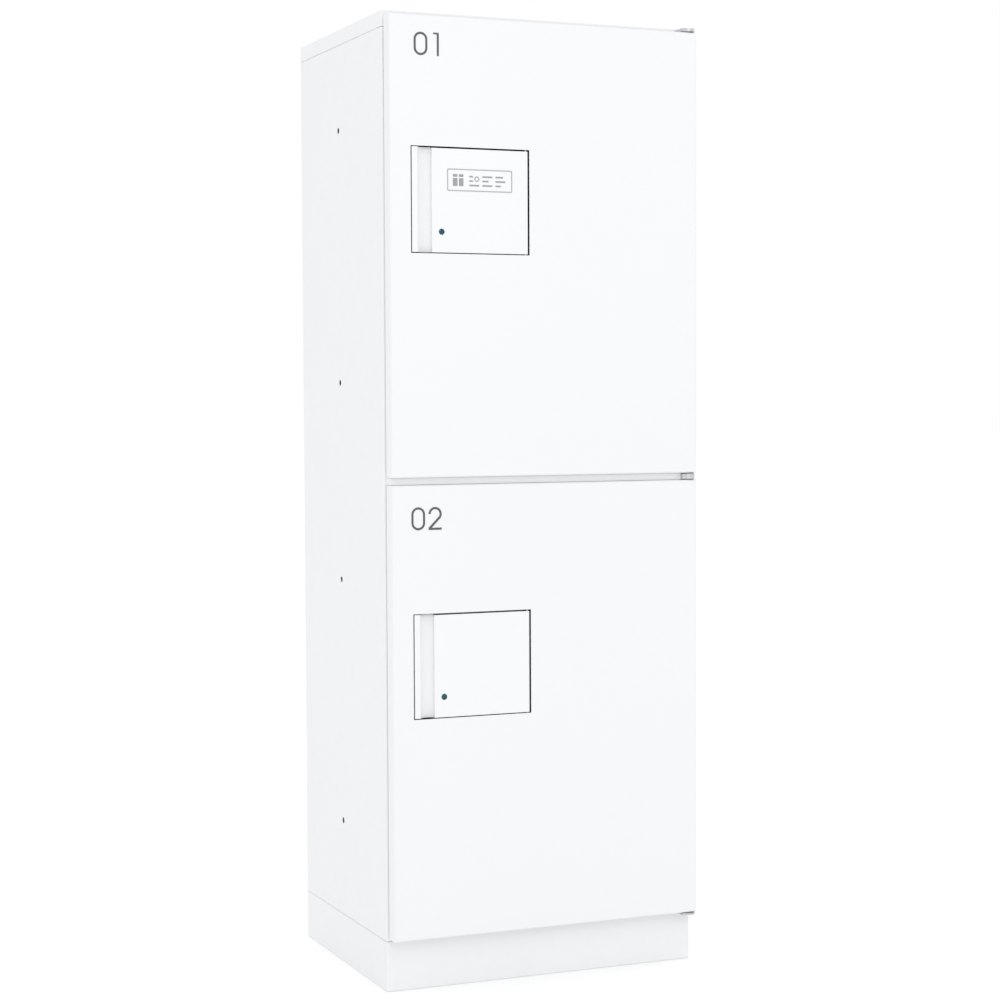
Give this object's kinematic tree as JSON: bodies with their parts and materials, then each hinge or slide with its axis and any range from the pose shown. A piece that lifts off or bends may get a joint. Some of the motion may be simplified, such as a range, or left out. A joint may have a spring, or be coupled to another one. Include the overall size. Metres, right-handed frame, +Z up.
{
  "type": "parcel locker",
  "caption": "Two-tier sheet-steel parcel locker on a plinth; overlay doors with grip flaps hiding combination locks, upper one with a slip stamp.",
  "frame": {"origin": "bottom centre of the bounding box", "axes": "+Z up, doors face -Y, +X towards the hinge side"},
  "size_m": [0.42, 0.3453, 1.205],
  "materials": {
    "white_enamel": "fine satin powder coat",
    "white_enamel_inner": "satin powder coat, inside",
    "zinc_steel": "zinc plated",
    "bright_steel": "brushed",
    "seal_rubber": "matt",
    "bush_plastic": "moulded",
    "magnet_plastic": "moulded",
    "pocket_plastic": "fine texture",
    "flap_plastic": "semi-gloss moulding",
    "lens_clear": "clear",
    "digit_ink": "film",
    "label_ink": "film",
    "dial_plastic": "moulded",
    "knob_metal": "satin",
    "indicator_face": "printed sectors",
    "plug_brass": "satin",
    "key_zinc": "satin chrome",
    "stamp_plastic": "moulded",
    "stamp_body": "moulded",
    "spring_wire": "bright wire"
  },
  "bodies": {
    "cabinet": {"side_panel_left": "white_enamel", "side_panel_right": "white_enamel", "back_panel": "white_enamel", "top_cap": "white_enamel", "ceiling_panel": "white_enamel_inner", "mid_shelf": "white_enamel_inner", "front_rail": "white_enamel", "floor_panel": "white_enamel_inner", "plinth": "white_enamel", "hinge_brackets": "zinc_steel", "hinge_pins": "bright_steel", "strike_plates": "zinc_steel", "magnet_catches": "magnet_plastic", "cabinet_screws": "zinc_steel"},
    "door_upper": {"door_skin_upper": "white_enamel", "door_liner_upper": "white_enamel_inner", "door_seal_upper": "seal_rubber", "hinge_bushes_upper": "bush_plastic", "lock_pocket_upper": "pocket_plastic", "lock_plate_upper": "bright_steel", "lock_case_upper": "zinc_steel", "dial_axle_upper": "bright_steel", "key_cylinder_upper": "key_zinc", "flap_pin_upper": "bright_steel", "catch_plate_upper": "zinc_steel", "number_upper": "digit_ink", "stamp_housing": "stamp_body", "stamp_spring": "spring_wire"},
    "flap_upper": {"flap_upper": "flap_plastic", "flap_lens_upper": "lens_clear", "slip_label": "label_ink"},
    "dial_upper_a": {"dial_upper_a": "dial_plastic"},
    "dial_upper_b": {"dial_upper_b": "dial_plastic"},
    "dial_upper_c": {"dial_upper_c": "dial_plastic"},
    "thumb_turn_upper": {"thumb_turn_upper": "knob_metal"},
    "bolt_upper": {"lock_bolt_upper": "bright_steel"},
    "indicator_upper": {"indicator_upper": "indicator_face"},
    "key_plug_upper": {"key_plug_upper": "plug_brass"},
    "door_lower": {"door_skin_lower": "white_enamel", "door_liner_lower": "white_enamel_inner", "door_seal_lower": "seal_rubber", "hinge_bushes_lower": "bush_plastic", "lock_pocket_lower": "pocket_plastic", "lock_plate_lower": "bright_steel", "lock_case_lower": "zinc_steel", "dial_axle_lower": "bright_steel", "key_cylinder_lower": "key_zinc", "flap_pin_lower": "bright_steel", "catch_plate_lower": "zinc_steel", "number_lower": "digit_ink"},
    "flap_lower": {"flap_lower": "flap_plastic", "flap_lens_lower": "lens_clear"},
    "dial_lower_a": {"dial_lower_a": "dial_plastic"},
    "dial_lower_b": {"dial_lower_b": "dial_plastic"},
    "dial_lower_c": {"dial_lower_c": "dial_plastic"},
    "thumb_turn_lower": {"thumb_turn_lower": "knob_metal"},
    "bolt_lower": {"lock_bolt_lower": "bright_steel"},
    "indicator_lower": {"indicator_lower": "indicator_face"},
    "key_plug_lower": {"key_plug_lower": "plug_brass"},
    "stamp_button": {"stamp_button": "stamp_plastic"}
  },
  "joints": [
    {"name": "door_upper_hinge", "type": "hinge", "parent": "cabinet", "child": "door_upper", "pos_m": [0.201, -0.16375, 0.91725], "axis": [0, 0, 1], "range_deg": [0, 110]},
    {"name": "flap_upper_hinge", "type": "hinge", "parent": "door_upper", "child": "flap_upper", "pos_m": [-0.0287, -0.16875, 0.9751], "axis": [0, 0, 1], "range_deg": [0, 95]},
    {"name": "dial_upper_a_spin", "type": "hinge", "parent": "door_upper", "child": "dial_upper_a", "pos_m": [-0.092, -0.14525, 1.0021], "axis": [1, 0, 0], "continuous": true},
    {"name": "dial_upper_b_spin", "type": "hinge", "parent": "door_upper", "child": "dial_upper_b", "pos_m": [-0.082, -0.14525, 1.0021], "axis": [1, 0, 0], "continuous": true},
    {"name": "dial_upper_c_spin", "type": "hinge", "parent": "door_upper", "child": "dial_upper_c", "pos_m": [-0.072, -0.14525, 1.0021], "axis": [1, 0, 0], "continuous": true},
    {"name": "thumb_turn_upper_turn", "type": "hinge", "parent": "door_upper", "child": "thumb_turn_upper", "pos_m": [-0.05974, -0.15225, 0.9379], "axis": [0, 1, 0], "range_deg": [0, 90]},
    {"name": "bolt_upper_slide", "type": "slide", "parent": "door_upper", "child": "bolt_upper", "axis": [-1, 0, 0], "range_m": [0, 0.01257]},
    {"name": "indicator_upper_turn", "type": "hinge", "parent": "door_upper", "child": "indicator_upper", "pos_m": [-0.132, -0.15225, 0.9379], "axis": [0, 1, 0], "range_deg": [0, 90]},
    {"name": "key_plug_upper_turn", "type": "hinge", "parent": "door_upper", "child": "key_plug_upper", "pos_m": [-0.044, -0.14825, 1.0021], "axis": [0, 1, 0], "range_deg": [0, 90]},
    {"name": "door_lower_hinge", "type": "hinge", "parent": "cabinet", "child": "door_lower", "pos_m": [0.201, -0.16375, 0.34675], "axis": [0, 0, 1], "range_deg": [0, 110]},
    {"name": "flap_lower_hinge", "type": "hinge", "parent": "door_lower", "child": "flap_lower", "pos_m": [-0.0287, -0.16875, 0.4046], "axis": [0, 0, 1], "range_deg": [0, 95]},
    {"name": "dial_lower_a_spin", "type": "hinge", "parent": "door_lower", "child": "dial_lower_a", "pos_m": [-0.092, -0.14525, 0.4316], "axis": [1, 0, 0], "continuous": true},
    {"name": "dial_lower_b_spin", "type": "hinge", "parent": "door_lower", "child": "dial_lower_b", "pos_m": [-0.082, -0.14525, 0.4316], "axis": [1, 0, 0], "continuous": true},
    {"name": "dial_lower_c_spin", "type": "hinge", "parent": "door_lower", "child": "dial_lower_c", "pos_m": [-0.072, -0.14525, 0.4316], "axis": [1, 0, 0], "continuous": true},
    {"name": "thumb_turn_lower_turn", "type": "hinge", "parent": "door_lower", "child": "thumb_turn_lower", "pos_m": [-0.05974, -0.15225, 0.3674], "axis": [0, 1, 0], "range_deg": [0, 90]},
    {"name": "bolt_lower_slide", "type": "slide", "parent": "door_lower", "child": "bolt_lower", "axis": [-1, 0, 0], "range_m": [0, 0.01257]},
    {"name": "indicator_lower_turn", "type": "hinge", "parent": "door_lower", "child": "indicator_lower", "pos_m": [-0.132, -0.15225, 0.3674], "axis": [0, 1, 0], "range_deg": [0, 90]},
    {"name": "key_plug_lower_turn", "type": "hinge", "parent": "door_lower", "child": "key_plug_lower", "pos_m": [-0.044, -0.14825, 0.4316], "axis": [0, 1, 0], "range_deg": [0, 90]},
    {"name": "stamp_button_press", "type": "slide", "parent": "door_upper", "child": "stamp_button", "axis": [0, 0, -1], "range_m": [0, 0.006], "stiffness_N_per_m": 400, "springref_m": -0.004, "deforming": ["stamp_spring"]}
  ],
  "couplings": [
    {"joint": "thumb_turn_upper_turn", "follows": "bolt_upper_slide", "rad_per_m": 125},
    {"joint": "indicator_upper_turn", "follows": "bolt_upper_slide", "rad_per_m": 125},
    {"joint": "thumb_turn_lower_turn", "follows": "bolt_lower_slide", "rad_per_m": 125},
    {"joint": "indicator_lower_turn", "follows": "bolt_lower_slide", "rad_per_m": 125}
  ]
}
